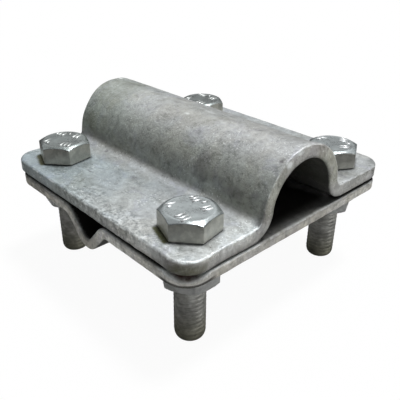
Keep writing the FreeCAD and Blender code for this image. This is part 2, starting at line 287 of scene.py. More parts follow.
def bent_sheet(half_u, bend, thickness, holes, radii, rim, burr, ragged, place):
    """A sheet's points, faces, masks and depths: red masks its edge, green its under skin.

    The rim's radius depends on where it is in the flat blank, and the burr's is a share of it.
    """
    half_v = bend.length / 2
    loops = blank_loops(half_u, half_v, holes, radii, rim, burr, ragged)
    inner = [edge - outward * radius[:, None] for edge, outward, radius, _ in loops]
    skin, triangles, new_place = blank_skin(half_u, half_v, inner, holes)
    count = len(skin)
    flat, edge_mask = [skin, skin], [np.zeros(2 * count)]
    depth = [np.zeros(count), np.full(count, thickness)]
    faces = triangles + [[index + count for index in reversed(triangle)] for triangle in triangles]
    total, base = 2 * count, 0
    for edge, outward, top_round, under_round in loops:
        size = len(edge)
        rows = [[new_place[base + step] for step in range(size)]]
        for out, deep, on_edge in rim_rows(thickness, top_round, under_round):
            flat.append(edge + outward * out[:, None])
            depth.append(deep)
            edge_mask.append(np.full(size, on_edge))
            rows.append(list(range(total, total + size)))
            total += size
        rows.append([index + count for index in rows[0]])
        for upper, lower in zip(rows, rows[1:]):
            for step in range(size):
                after = (step + 1) % size
                faces.append([upper[after], upper[step], lower[step], lower[after]])
        base += size
    flat, depth, edge_mask = np.vstack(flat), np.concatenate(depth), np.concatenate(edge_mask)
    points = place(flat[:, 0], bend.place(flat[:, 1] + half_v, thickness / 2 - depth))
    low_mask = ease(depth, thickness * 0.5, thickness * 0.95) * (1 - edge_mask)
    masks = np.column_stack([edge_mask, low_mask, np.zeros(len(points)), np.ones(len(points))])
    return points, faces, masks, depth / thickness


# Radial solids: rays from inside meet the smoothed crossing of several half spaces

def smooth_max(values, softness):
    stack = np.stack(values)
    top = stack.max(axis=0)
    return top + softness * np.log(np.exp((stack - top) / softness).sum(axis=0))


def cast_rays(origins, ways, outside, far):
    near, far = np.zeros(len(origins)), np.full(len(origins), far)
    for _ in range(34):
        middle = (near + far) / 2
        out = outside(origins + ways * middle[:, None]) > 0
        far = np.where(out, middle, far)
        near = np.where(out, near, middle)
    return origins + ways * near[:, None]


def fan(angles, slope):
    """Directions all round the z axis, all climbing by the same angle."""
    return np.column_stack([np.cos(angles) * math.cos(slope), np.sin(angles) * math.cos(slope),
                            np.full(len(angles), math.sin(slope))])


def hexagon_columns(turn):
    """Angles round a hexagon, closer together at its corners."""
    offsets = [0, 0.7, 1.4, 2.3, 3.6, 5.5, 8.5, 12.5, 18, 24, 30]
    offsets += [60 - offset for offset in offsets[-2:0:-1]]
    return np.radians([turn + 30 + 60 * side + offset for side in range(6) for offset in offsets])


def hexagon(points, half, turn):
    return [points[:, 0] * math.cos(angle) + points[:, 1] * math.sin(angle) - half
            for angle in np.radians(turn + 60 * np.arange(6))]


def chamfer(past, radius, start):
    """How far outside a 30 degree chamfer, from how far past its end and the radius where it starts."""
    return past * math.cos(math.radians(30)) + (radius - start) * math.sin(math.radians(30))


def wrap(rows, columns, base=0, closed=False):
    """Quads over rows of points that go once round."""
    faces = []
    for row in range(rows if closed else rows - 1):
        after_row = (row + 1) % rows
        for column in range(columns):
            after = (column + 1) % columns
            faces.append([base + row * columns + column, base + row * columns + after,
                          base + after_row * columns + after, base + after_row * columns + column])
    return faces


def flipped(faces):
    """The same faces, turned to their other side."""
    return [face[:1] + face[:0:-1] for face in faces]


def rings(section, columns):
    """Points on level rings about the z axis, from pairs of radius and height."""
    turn = np.linspace(0, 2 * math.pi, columns, endpoint=False)
    level = [np.column_stack([radius * np.cos(turn), radius * np.sin(turn), np.full(columns, height)])
             for radius, height in section]
    return np.vstack(level)


def head_mesh(turn):
    """A hexagon head about the z axis, its chamfer and all its edges softened by zinc."""
    low, high, middle = FLANGE_TOP, HEAD_TOP, FLANGE_TOP + 2.7
    angles = hexagon_columns(turn)
    # Rays fan out through this rough outline, more of them where the head curves
    section = [(radius, high) for radius in (0.5, 1.2, 2.2, 3.2, 4.2, 4.8, 5.1, 5.25, 5.4, 5.5)]
    section += [(5.5 + 0.07 * step, high - 0.02 * step) for step in range(1, 30)]
    section += [(7.5, high - 0.8 - 0.1 * step) for step in range(42)]
    section += [(7.4 - 0.1 * step, low + 0.25) for step in range(1, 16)]
    section += [(5.7 - 0.1 * step, low) for step in range(1, 5)]
    section += [(radius, low) for radius in (4.6, 3.6, 2.4, 1.0)]
    slopes = sorted({round(math.atan2(height - middle, radius), 5) for radius, height in section},
                    reverse=True)
    ways = np.vstack([fan(angles, slope) for slope in slopes])
    origins = np.tile([0.0, 0.0, middle], (len(ways), 1))

    def outside(points):
        radius = np.hypot(points[:, 0], points[:, 1])
        z = points[:, 2]
        wobble = 0.02 * noise(points, 2.3, 11)
        ring = 0.05 * np.exp(-((radius - 5.6) / 0.22) ** 2)
        body = smooth_max(hexagon(points, HALF_FLATS + 0.03, turn) + [z - high - ring, low + 0.22 - z], 0.045)
        body = smooth_max([body, chamfer(z - high, radius, 5.95)], 0.035) + wobble
        bearing_disc = np.maximum(np.maximum(radius - 5.8, low - z), z - low - 1.0)
        return np.minimum(body, bearing_disc)

    points = cast_rays(origins, ways, outside, 12.0)
    points[:, 2] = np.maximum(points[:, 2], low)
    count = len(angles)
    faces = flipped(wrap(len(slopes), count))
    crown, sole = len(points), len(points) + 1
    points = np.vstack([points, [0, 0, high], [0, 0, low]])
    last = (len(slopes) - 1) * count
    faces += [[crown, step, (step + 1) % count] for step in range(count)]
    faces += [[sole, last + (step + 1) % count, last + step] for step in range(count)]
    return points, faces


def shank_mesh():
    """A shallow M8 thread from inside the head down to a rounded tip."""
    pitch, crest, root, top = 1.25, 3.97, 3.83, FLANGE_TOP + 0.3
    tip, taper = 2.95, 2.1
    profile = [(0.0, crest), (0.30, crest), (0.44, (crest + root) / 2), (0.56, root),
               (0.70, root), (0.86, (crest + root) / 2)]
    columns, step_up, turns = 64, len(profile), math.ceil(top / pitch) + 2
    around = np.linspace(0, 1, columns, endpoint=False)
    points, faces = [], []
    for turn in range(-1, turns - 1):
        for part, radius in profile:
            z = np.clip((turn + part + around) * pitch, 0, top)
            rest = 1 - np.minimum(z / taper, 1)
            reach = np.minimum(radius, tip + (crest - tip) * np.sqrt(1 - rest ** 2))
            angle = 2 * math.pi * around
            points.append(np.column_stack([reach * np.cos(angle), reach * np.sin(angle), z]))
    points = np.vstack(points)
    # Once round, the helix is one pitch higher
    for row in range((turns - 1) * step_up - 1):
        for column in range(columns):
            here = row * columns + column
            after = here + 1 if column < columns - 1 else (row + step_up) * columns
            faces.append([here, after, after + columns, here + columns])
    # Its flattened ends fold into the tip's rim and the head
    flat = points[:, 2]
    faces = [face for face in faces if not (all(flat[index] <= 0 for index in face)
                                            or all(flat[index] >= top for index in face))]
    base, hollow = len(points), 0.12
    sole = rings([(tip, 0.0), (2.6, 0.03), (1.6, 0.1), (0.6, hollow)], columns)
    faces += flipped(wrap(4, columns, base))
    centre = base + 4 * columns
    faces += [[centre, base + 3 * columns + (step + 1) % columns, base + 3 * columns + step]
              for step in range(columns)]
    return np.vstack([points, sole, [[0, 0, hollow]]]), faces


def nut_mesh(turn):
    """A hexagon nut about the z axis, chamfered outside and countersunk at its bore."""
    low, high, bore = NUT_LOW, NUT_TOP, 4.0
    middle, centre = (low + high) / 2, 5.3
    angles = hexagon_columns(turn)
    rows = 76
    slopes = np.linspace(0, 2 * math.pi, rows, endpoint=False)
    # Rays start on a ring inside the nut's wall
    ways = np.vstack([fan(angles, slope) for slope in slopes])
    ring = np.column_stack([np.cos(angles) * centre, np.sin(angles) * centre, np.full(len(angles), middle)])

    def outside(points):
        radius = np.hypot(points[:, 0], points[:, 1])
        z = points[:, 2]
        past_ends = (z - high, low - z)
        cones = [chamfer(past, radius, 6.63) for past in past_ends]
        sinks = [(bore + 0.6 - radius + past) * math.sqrt(0.5) for past in past_ends]
        sides = hexagon(points, HALF_FLATS, turn) + list(past_ends)
        return smooth_max([smooth_max(sides, 0.05)] + cones + sinks + [bore - radius], 0.04)

    points = cast_rays(np.tile(ring, (rows, 1)), ways, outside, 6.0)
    points[:, 2] = np.clip(points[:, 2], low, high)
    return points, wrap(rows, len(angles), closed=True)


# Raised marks on the heads: plain bars

BAR_HALF_WIDTH, BAR_HEIGHT = 0.33, 0.2


def bar_mesh(middle, along, half):
    """A low rounded ridge on the heads' top."""
    side = np.array([-along[1], along[0]])
    section = [(-1.0, -0.6), (-0.8, 0.35), (-0.4, 0.85), (0.0, 1.0), (0.4, 0.85), (0.8, 0.35), (1.0, -0.6)]
    points = [(*(middle + along * half * end + side * across * BAR_HALF_WIDTH), HEAD_TOP + up * BAR_HEIGHT)
              for end in (-1, 0, 1) for across, up in section]
    count = len(section)
    faces = flipped(wrap(3, count)) + [list(range(count)), list(range(2 * count, 3 * count))[::-1]]
    return np.array(points), faces


def marks_mesh(turn, groups):
    parts = []
    for count, out, angle, half, upright, step in groups:
        place, tilt = math.radians(angle + turn), math.radians(upright - 90 + turn)
        centre = np.array([math.cos(place), math.sin(place)]) * out
        across, along = np.array([[math.cos(tilt), math.sin(tilt)], [-math.sin(tilt), math.cos(tilt)]])
        for bar in range(count):
            shift = (bar - (count - 1) / 2) * step * half
            parts.append(bar_mesh(centre + across * shift, along, half))
    return join(*parts)


# Materials

def brighter(colour, times):
    return tuple(times * part for part in colour)


class Nodes:
    """The nodes of a new material, or of a world."""

    def __init__(self, owner):
        self.owner = bpy.data.materials.new(owner) if isinstance(owner, str) else owner
        self.owner.use_nodes = True
        self.tree = self.owner.node_tree
        self.tree.nodes.clear()

    def add(self, kind, inputs=None, **settings):
        node = self.tree.nodes.new(kind)
        for name, value in settings.items():
            setattr(node, name, value)
        for name, value in (inputs or {}).items():
            socket = node.inputs[name]
            if isinstance(value, bpy.types.NodeSocket):
                self.tree.links.new(value, socket)
            else:
                socket.default_value = (*value, 1.0) if socket.type == "RGBA" else value
        return node

    def millimetres(self):
        place = self.add("ShaderNodeTexCoord").outputs["Object"]
        return self.add("ShaderNodeVectorMath", {"Vector": place, "Scale": 1000.0},
                        operation="SCALE").outputs[0]

    def xyz(self, vector):
        return self.add("ShaderNodeSeparateXYZ", {"Vector": vector}).outputs

    def noise(self, where, size, detail=3.0, roughness=0.55, distortion=0.0):
        return self.add("ShaderNodeTexNoise", {
            "Vector": where, "Scale": 1.0 / size, "Detail": detail, "Roughness": roughness,
            "Distortion": distortion}).outputs["Fac"]

    def math(self, operation, first, second=0.0, third=0.0):
        return self.add("ShaderNodeMath", {0: first, 1: second, 2: third}, operation=operation).outputs[0]

    def product(self, first, second):
        return self.math("MULTIPLY", first, second)

    def sum(self, *terms):
        """Weighted terms added up: (socket, weight)."""
        total = self.product(*terms[0])
        for socket, weight in terms[1:]:
            total = self.math("MULTIPLY_ADD", socket, weight, total)
        return total

    def between(self, value, low, high, to_low=0.0, to_high=1.0, smooth=True):
        return self.add("ShaderNodeMapRange", {
            "Value": value, "From Min": low, "From Max": high, "To Min": to_low, "To Max": to_high},
            interpolation_type="SMOOTHSTEP" if smooth else "LINEAR").outputs[0]

    def ramp(self, value, *stops):
        node = self.add("ShaderNodeValToRGB", {"Fac": value})
        elements = node.color_ramp.elements
        while len(elements) < len(stops):
            elements.new(0.5)
        for element, (spot, colour) in zip(elements, stops):
            element.position = spot
            element.color = (*colour, 1.0)
        return node.outputs["Color"]

    def mix(self, factor, first, second, blend="MIX"):
        return self.add("ShaderNodeMix", {0: factor, 6: first, 7: second}, data_type="RGBA",
                        blend_type=blend, clamp_factor=True).outputs[2]

    def tinted(self, factor, colour, tint):
        """The colour, multiplied by the tint as far as the factor says."""
        return self.mix(factor, colour, self.mix(1.0, colour, tint, "MULTIPLY"))

    def masks(self, name):
        colour = self.add("ShaderNodeAttribute", attribute_name=name).outputs["Color"]
        return self.add("ShaderNodeSeparateColor", {"Color": colour}).outputs

    def bump(self, height, distance, before=None):
        inputs = {"Height": height, "Distance": distance * MM, "Strength": 1.0}
        if before:
            inputs["Normal"] = before
        return self.add("ShaderNodeBump", inputs).outputs[0]

    def output(self, shader, kind="Material"):
        self.add(f"ShaderNodeOutput{kind}", {"Surface": shader.outputs[0]})
        return self.owner

    def metal(self, **inputs):
        return self.output(self.add("ShaderNodeBsdfPrincipled", {
            name.replace("_", " "): value for name, value in inputs.items()}))


# Mottled zinc from dark to light: where on the ramp, and its colour
ZINC = ((0.39, (0.56, 0.59, 0.58)), (0.46, (0.85, 0.88, 0.88)), (0.53, (1.02, 1.06, 1.07)),
        (0.61, (1.30, 1.35, 1.36)))
# The arch is greener than the flanges on its sides, and at its far end
SIDE_TINT = (0.96, 0.99, 0.925)
FAR_TINT = (0.95, 1.0, 0.975)


def plate_material(name, light, left, right, warm):
    """Dull galvanised sheet: mottled zinc with flecks, stained spots, painted shade, and painted highlights
    on its rims, tinted from left to right.
    """
    n = Nodes(name)
    where = n.millimetres()
    edge, under, rough = n.masks("masks")[:3]
    stain_and_dark_reflection, painted_highlight, olive = n.masks("stains_and_painted_light")[:3]
    # A layer of painted shade, rust and painted sheen
    dulling, rust, painted_sheen = n.masks("painted_shade_rust_and_sheen")[:3]
    cloud = n.noise(where, 14.0, 2.0)
    patch = n.noise(where, 4.2, 4.0, 0.62, 1.6)
    mottle = n.noise(where, 1.5, 4.0, 0.65, 0.3)
    grain = n.noise(where, 0.6, 3.0, 0.7)
    fine = n.noise(where, 0.32, 2.0)
    tone = n.sum((cloud, 0.18), (patch, 0.34), (mottle, 0.30), (grain, 0.20), (fine, -0.02))
    zinc = n.ramp(tone, *((spot, brighter(colour, light)) for spot, colour in ZINC))
    # Cool on the flanges, warmer on the arch, each in patches
    x, y, z = n.xyz(where)
    # The cool tint fades out towards the arch's near foot, a painted reflection of the fold, and is mostly
    # gone on the back flange
    rightward = n.math("MAXIMUM", n.between(x, -24.0, 24.0), n.between(y, -23.0, -17.5, 0.0, 0.8))
    zinc = n.tinted(n.between(z, 30.55, 31.6, 1.0, 0.0), zinc, n.mix(rightward, left, right))
    side = n.product(n.between(z, 31.0, 33.0), n.between(z, 45.0, 40.0))
    zinc = n.tinted(side, zinc, SIDE_TINT)
    arch = n.between(z, 33.0, 35.0)
    far = n.product(arch, n.between(x, -34.0, -6.0, 1.0, 0.0))
    zinc = n.tinted(far, zinc, FAR_TINT)
    # Lines where the zinc ran off the arch
    flow = n.math("SUBTRACT", n.noise(where, 8.0, 1.5, 0.45, 0.9), 0.5)
    line = n.between(n.math("ABSOLUTE", flow), 0.0, 0.010, 1.0, 0.0)
    broken = n.between(n.noise(where, 3.0, 2.0), 0.42, 0.56, 0.0, 0.5)
    zinc = n.tinted(n.product(n.product(line, broken), arch), zinc, (0.5, 0.5, 0.5))
    # Warm and lilac patches
    hue = n.between(n.noise(where, 9.0, 3.0, 0.6, 0.5), 0.40, 0.60)
    zinc = n.tinted(hue, zinc, warm)
    lilac = n.between(n.noise(where, 6.5, 2.0, 0.5, 1.0), 0.56, 0.64)
    zinc = n.tinted(n.product(lilac, 0.35), zinc, (0.94, 0.93, 1.06))
    # Light and dark flecks
    flecks = n.noise(where, 0.45, 2.0, 0.6)
    flecked = n.between(n.noise(where, 5.5, 2.0, 0.5), 0.44, 0.60, 0.15, 1.0)
    for low, high, at_low, at_high, colour in ((0.60, 0.68, 0.0, 0.6, (0.75, 0.78, 0.78)),
                                               (0.31, 0.39, 0.55, 0.0, (0.12, 0.125, 0.12))):
        fleck = n.product(flecked, n.between(flecks, low, high, at_low, at_high))
        zinc = n.mix(fleck, zinc, colour)
    # Lumpy zinc: painted highlights on the crests and painted shade in the hollows, from the same noise as
    # the lumps' bumps
    lumps = n.noise(where, 1.15, 3.0, 0.65, 0.5)
    lumpy = n.ramp(lumps, (0.36, (0.50, 0.53, 0.53)), (0.48, (0.96, 0.97, 0.97)), (0.60, (1.40, 1.40, 1.40)))
    zinc = n.tinted(n.product(rough, 0.8), zinc, lumpy)
    # Sheared edges, a little streaked, with painted highlights in patches along the rounded rims
    streak = n.noise(n.add("ShaderNodeVectorMath", {0: where, 1: (1.3, 1.3, 0.4)},
                           operation="MULTIPLY").outputs[0], 1.2, 4.0, 0.65)
    zinc = n.tinted(edge, zinc, n.ramp(streak, (0.30, (0.83, 0.79, 0.75)), (0.66, (1.18, 1.13, 1.07))))
    rim = n.product(edge, n.math("SUBTRACT", 1.0, edge))
    lighter_patches = n.between(n.noise(where, 1.6, 3.0, 0.6), 0.48, 0.60, 0.0, 2.2)
    zinc = n.mix(n.product(rim, lighter_patches), zinc, (0.72, 0.75, 0.75))
    # Painted shade: the under skins are darkened, as if in shadow
    zinc = n.tinted(under, zinc, (0.26, 0.25, 0.235))
    # Pinholes and dark specks, sparse
    dots = n.add("ShaderNodeTexVoronoi", {"Vector": where, "Scale": 0.42}).outputs["Distance"]
    sparse = n.between(n.noise(where, 5.0, 2.0), 0.52, 0.60)
    speck = n.product(n.between(dots, 0.05, 0.11, 1.0, 0.0), sparse)
    zinc = n.mix(n.product(speck, 0.7), zinc, (0.06, 0.06, 0.055))
    # Painted sheen: the zinc is lighter at spots that stand in for light and sheen
    zinc = n.tinted(painted_sheen, zinc, (1.50, 1.53, 1.55))
    # Stains that the photograph shows, with painted highlights, painted olive shadows beside the heads and a
    # painted dark reflection on the near corner's wall
    blotch = n.between(n.noise(where, 1.4, 4.0, 0.65), 0.3, 0.6, 0.65, 1.0)
    for spots, colour in ((stain_and_dark_reflection, (0.085, 0.078, 0.088)), (olive, (0.078, 0.084, 0.024)),
                          (painted_highlight, (0.80, 0.84, 0.84))):
        zinc = n.mix(n.product(spots, blotch), zinc, colour)
    # Painted shade: near-black where shade falls between the plates, at the foot of the edges, round the
    # heads and over the near nut
    zinc = n.mix(dulling, zinc, (0.012, 0.011, 0.010))
    zinc = n.mix(n.product(rust, blotch), zinc, (0.045, 0.016, 0.008))
    polish = n.sum((patch, 0.35), (grain, 0.25), (edge, 0.14), (rim, 0.9), (dulling, 0.3))
    height = n.sum((grain, 1.0), (fine, 0.35), (patch, 1.6), (mottle, 0.5))
    bumps = n.bump(height, 0.075)
    lumpy_height = n.product(n.sum((lumps, 1.0), (fine, 0.4)), n.sum((rough, 1.0), (edge, 0.35)))
    bumps = n.bump(lumpy_height, 0.22, bumps)
    # The painted shade is also not metal and hardly reflects
    return n.metal(Base_Color=zinc, Metallic=n.between(dulling, 0.0, 1.0, 0.45, 0.0, False), Normal=bumps,
                   Roughness=n.math("ADD", polish, 0.14),
                   Specular_IOR_Level=n.between(dulling, 0.0, 1.0, 0.5, 0.02, False))


def bolt_material(name, tint, dark, dull=0.06):
    """Spun galvanised steel, smoother than the plates, its sides in another tone than its top: painted light
    and shade.
    """
    n = Nodes(name)
    where = n.millimetres()
    cloud = n.noise(where, 5.0, 3.0, 0.6, 0.3)
    grain = n.noise(where, 0.7, 4.0, 0.7)
    fine = n.noise(where, 0.25, 2.0)
    tone = n.sum((cloud, 0.65), (grain, 0.35))
    zinc = n.ramp(tone, (0.34, brighter(tint, 0.62)), (0.5, tint), (0.66, brighter(tint, 1.3)))
    # Painted light and shade: the bolts on the left have darker tops and lighter sides
    left = n.between(n.xyz(where)["X"], -22.0, -14.0, 1.0, 0.0)
    zinc = n.tinted(left, zinc, (0.72, 0.73, 0.71))
    dark = n.mix(left, dark, brighter(dark, 1.24))
    # Painted light and shade: faces that do not face up take the sides' tone
    upward = n.xyz(n.add("ShaderNodeTexCoord").outputs["Normal"])["Z"]
    upright = n.between(upward, 0.15, 0.55, 1.0, 0.0)
    stained = n.tinted(n.between(n.noise(where, 2.6, 4.0, 0.65), 0.35, 0.62), dark, (1.5, 1.5, 1.5))
    zinc = n.mix(upright, zinc, n.mix(0.75, zinc, stained))
    height = n.sum((grain, 1.0), (fine, 0.3), (cloud, 1.4))
    return n.metal(Base_Color=zinc, Metallic=0.8, Normal=n.bump(height, 0.04),
                   Roughness=n.math("ADD", n.sum((grain, 0.3), (cloud, 0.2), (upright, 0.04)), dull))


def thread_material():
    """Oily grey threads, browner towards the tip."""
    n = Nodes("galvanised_thread")
    where = n.millimetres()
    dulling = n.noise(where, 2.4, 4.0, 0.65)
    grain = n.noise(where, 0.4, 3.0)
    low = n.between(n.xyz(where)["Z"], 1.0, 11.0, 1.0, 0.0)
    colour = n.ramp(dulling, (0.35, (0.21, 0.21, 0.195)), (0.52, (0.30, 0.30, 0.28)),
                    (0.68, (0.42, 0.42, 0.40)))
    colour = n.tinted(low, colour, (0.62, 0.61, 0.50))
    return n.metal(Base_Color=colour, Metallic=0.62, Normal=n.bump(grain, 0.03),
                   Roughness=n.math("MULTIPLY_ADD", dulling, 0.3, 0.46))


UPPER = plate_material("galvanised_upper_plate", 0.365,
                       (0.85, 0.97, 1.03), (1.0, 1.01, 1.02), (1.02, 1.0, 0.965))
LOWER = plate_material("galvanised_lower_plate", 0.44,
                       (1.01, 1.0, 0.96), (1.02, 1.01, 0.99), (1.02, 1.0, 0.96))
HEAD = bolt_material("galvanised_head", (0.243, 0.268, 0.272), (0.366, 0.36, 0.32))
NUT = bolt_material("galvanised_nut", (0.60, 0.61, 0.61), (0.56, 0.565, 0.55))
THREAD = thread_material()
# The marks' light colour is partly rubbed zinc and partly a painted highlight
MARK = bolt_material("rubbed_mark", (0.70, 0.72, 0.73), (0.45, 0.45, 0.44), 0.2)


# The two plates

# Corner radii in millimetres, round from the right through the left: those in front are cut differently
CORNERS_UPPER = (CORNER, CORNER, CORNER - 1.0, CORNER - 1.1)
CORNERS_LOWER = (CORNER, CORNER, CORNER + 0.8, CORNER)

# Spots on the plates: where, how large and how strong. Pits have a radius and a depth.
UPPER_LUMPS = [
    ((-3, -36, 30.5), (15, 7, 9), 0.9), ((14, -37, 30.5), (20, 6.5, 9), 1),
    ((30, -37, 30.5), (16, 5, 6), 0.55), ((36.5, -17, 30.5), (5, 6, 6), 0.45),
    ((13, -11.8, 40.6), (4, 3, 3.5), 0.5), ((-20, -33, 30.5), (10, 5, 6), 0.5),
]
UPPER_PITS = [
    ((35.9, -7.6, 43.9), 0.8, 0.22), ((-20, -8.9, 42.9), 0.7, 0.15), ((-5.8, -9.3, 42.6), 0.7, 0.12),
    ((-21.7, -16.4, 30.7), 0.8, 0.15), ((34.5, -2.5, 45.7), 0.6, 0.12), ((-13.5, -27.3, 30.5), 0.8, 0.12),
]
UPPER_STAINS_AND_DARK_REFLECTION = [
    ((35.9, -7.6, 43.9), (0.8, 0.8, 0.8), 0.9), ((-20, -8.9, 42.9), (0.9, 0.8, 0.8), 0.6),
    ((-5.8, -9.3, 42.6), (0.9, 0.7, 0.7), 0.55), ((-6.8, -1.2, 46), (2.6, 0.5, 1), 0.5),
    ((28.3, -13.9, 35.4), (3.2, 2.5, 2.2), 0.42), ((14.2, -13.6, 36.2), (1.6, 1.6, 3.2), 0.5),
    ((33.7, -13.5, 36.8), (1.6, 1.5, 1.2), 0.3), ((16.8, -14.2, 35), (2.6, 2, 1.3), 0.5),
    ((16, -12.5, 39), (3.3, 3, 6), 0.42), ((37.6, -16.2, 33.5), (2.5, 4.5, 6.5), 0.55),
    # The last spot is a painted dark reflection on the near corner's wall
    ((35.7, -36.4, 28), (7, 7, 3), 0.65),
]
FLANGE_STAINS = [
    ((-21.7, -16.4, 30.7), (0.9, 0.8, 0.8), 0.7), ((-13.5, -27.3, 30.5), (1.8, 0.5, 1), 0.7),
    ((-2, -21, 30.5), (2.6, 1.3, 1), 0.45), ((2.5, -24.7, 30.5), (1.5, 0.9, 1), 0.4),
    ((5.6, -35.3, 30.5), (1.2, 0.6, 1), 0.4), ((1, -35.5, 30.5), (10, 3.5, 2), 0.12),
]
# Painted highlights: glints and lit rims on the upper plate
UPPER_PAINTED_HIGHLIGHTS = [
    ((0.9, -4.6, 45.3), (1.2, 0.6, 1), 0.6), ((5.4, -0.4, 46), (3.2, 0.8, 1), 0.4),
    ((12, -12.9, 38.2), (0.5, 0.5, 2.2), 0.5), ((13.4, -13.8, 36), (0.6, 0.5, 0.9), 0.5),
    ((-37, 0.8, 46), (0.8, 1.1, 1), 0.5), ((24, -38, 29.2), (7, 1.5, 2), 0.35),
    ((37.3, -6.5, 43.3), (0.8, 1.6, 1.2), 0.8), ((37.3, -3, 45.1), (0.8, 1.8, 0.8), 0.7),
]
UPPER_OLIVE = [
    ((-31, -5, 44.5), (14, 12, 6), 0.34), ((-32.6, -13.8, 35.8), (4, 4, 4), 0.25),
    ((-24, -15, 33), (9, 2.5, 3.5), 0.12), ((0, -2, 46.5), (24, 9, 5), 0.17),
    # The second spot on the next line is a painted dark reflection on the near corner's wall
    ((2, 27, 30.5), (44, 12, 3), 0.3), ((35.7, -36.4, 27.8), (7, 7, 2.6), 0.6),
    ((-12, -33, 30.5), (9, 6, 3), 0.16),
]
# Painted sheen on the upper plate: spots where the zinc is painted lighter
UPPER_PAINTED_SHEEN = [
    ((36, -21, 30.5), (9, 11, 2.6), 1), ((37, -33.5, 30.5), (16, 7, 2.4), 1),
    ((12, -26.6, 30.5), (9, 5, 4), 0.25), ((17, -15, 33), (11, 3.5, 3.5), 0.5),
    ((5, -39, 30), (46, 3, 5), 0.35), ((36, 28, 30.5), (6, 9, 5), 0.15),
    ((22, -38, 28.8), (7.5, 2, 3), 0.9), ((37.5, 22, 28.6), (2, 14, 2.4), 0.4),
]
LOWER_STAINS = [((-37.5, -34, 25), (7, 16, 4), 0.4)]
LOWER_RUST = [((34.6, -35.2, 26), (4.2, 3.4, 1.6), 1)]
# Painted sheen on the lower plate
LOWER_PAINTED_SHEEN = [((12, -39.5, 25), (40, 5, 6), 0.75), ((39, 30, 25), (5, 22, 5), 0.5)]


def move_skin(points, faces, move):
    """Points moved along their normals by an uneven zinc layer, but not round the heads."""
    for bolt_x, bolt_y, _, _ in BOLTS.values():
        move = move * ease(np.hypot(points[:, 0] - bolt_x, points[:, 1] - bolt_y), 6.3, 9.0)
    points = points + vertex_normals(points, faces) * move[:, None]
    reach = np.array([PLATE_X / 2, PLATE_Y / 2, np.inf])
    return np.clip(points, -reach, reach)


def paint(points, *lists):
    """A colour layer: one list of soft spots (where, how large, how strong) for each channel."""
    layer = np.zeros((len(points), 4))
    for channel, spots in enumerate(lists):
        for spot, reach, deep in spots:
            layer[:, channel] = np.maximum(layer[:, channel], deep * blob(points, spot, reach))
    layer[:, 3] = 1
    return layer


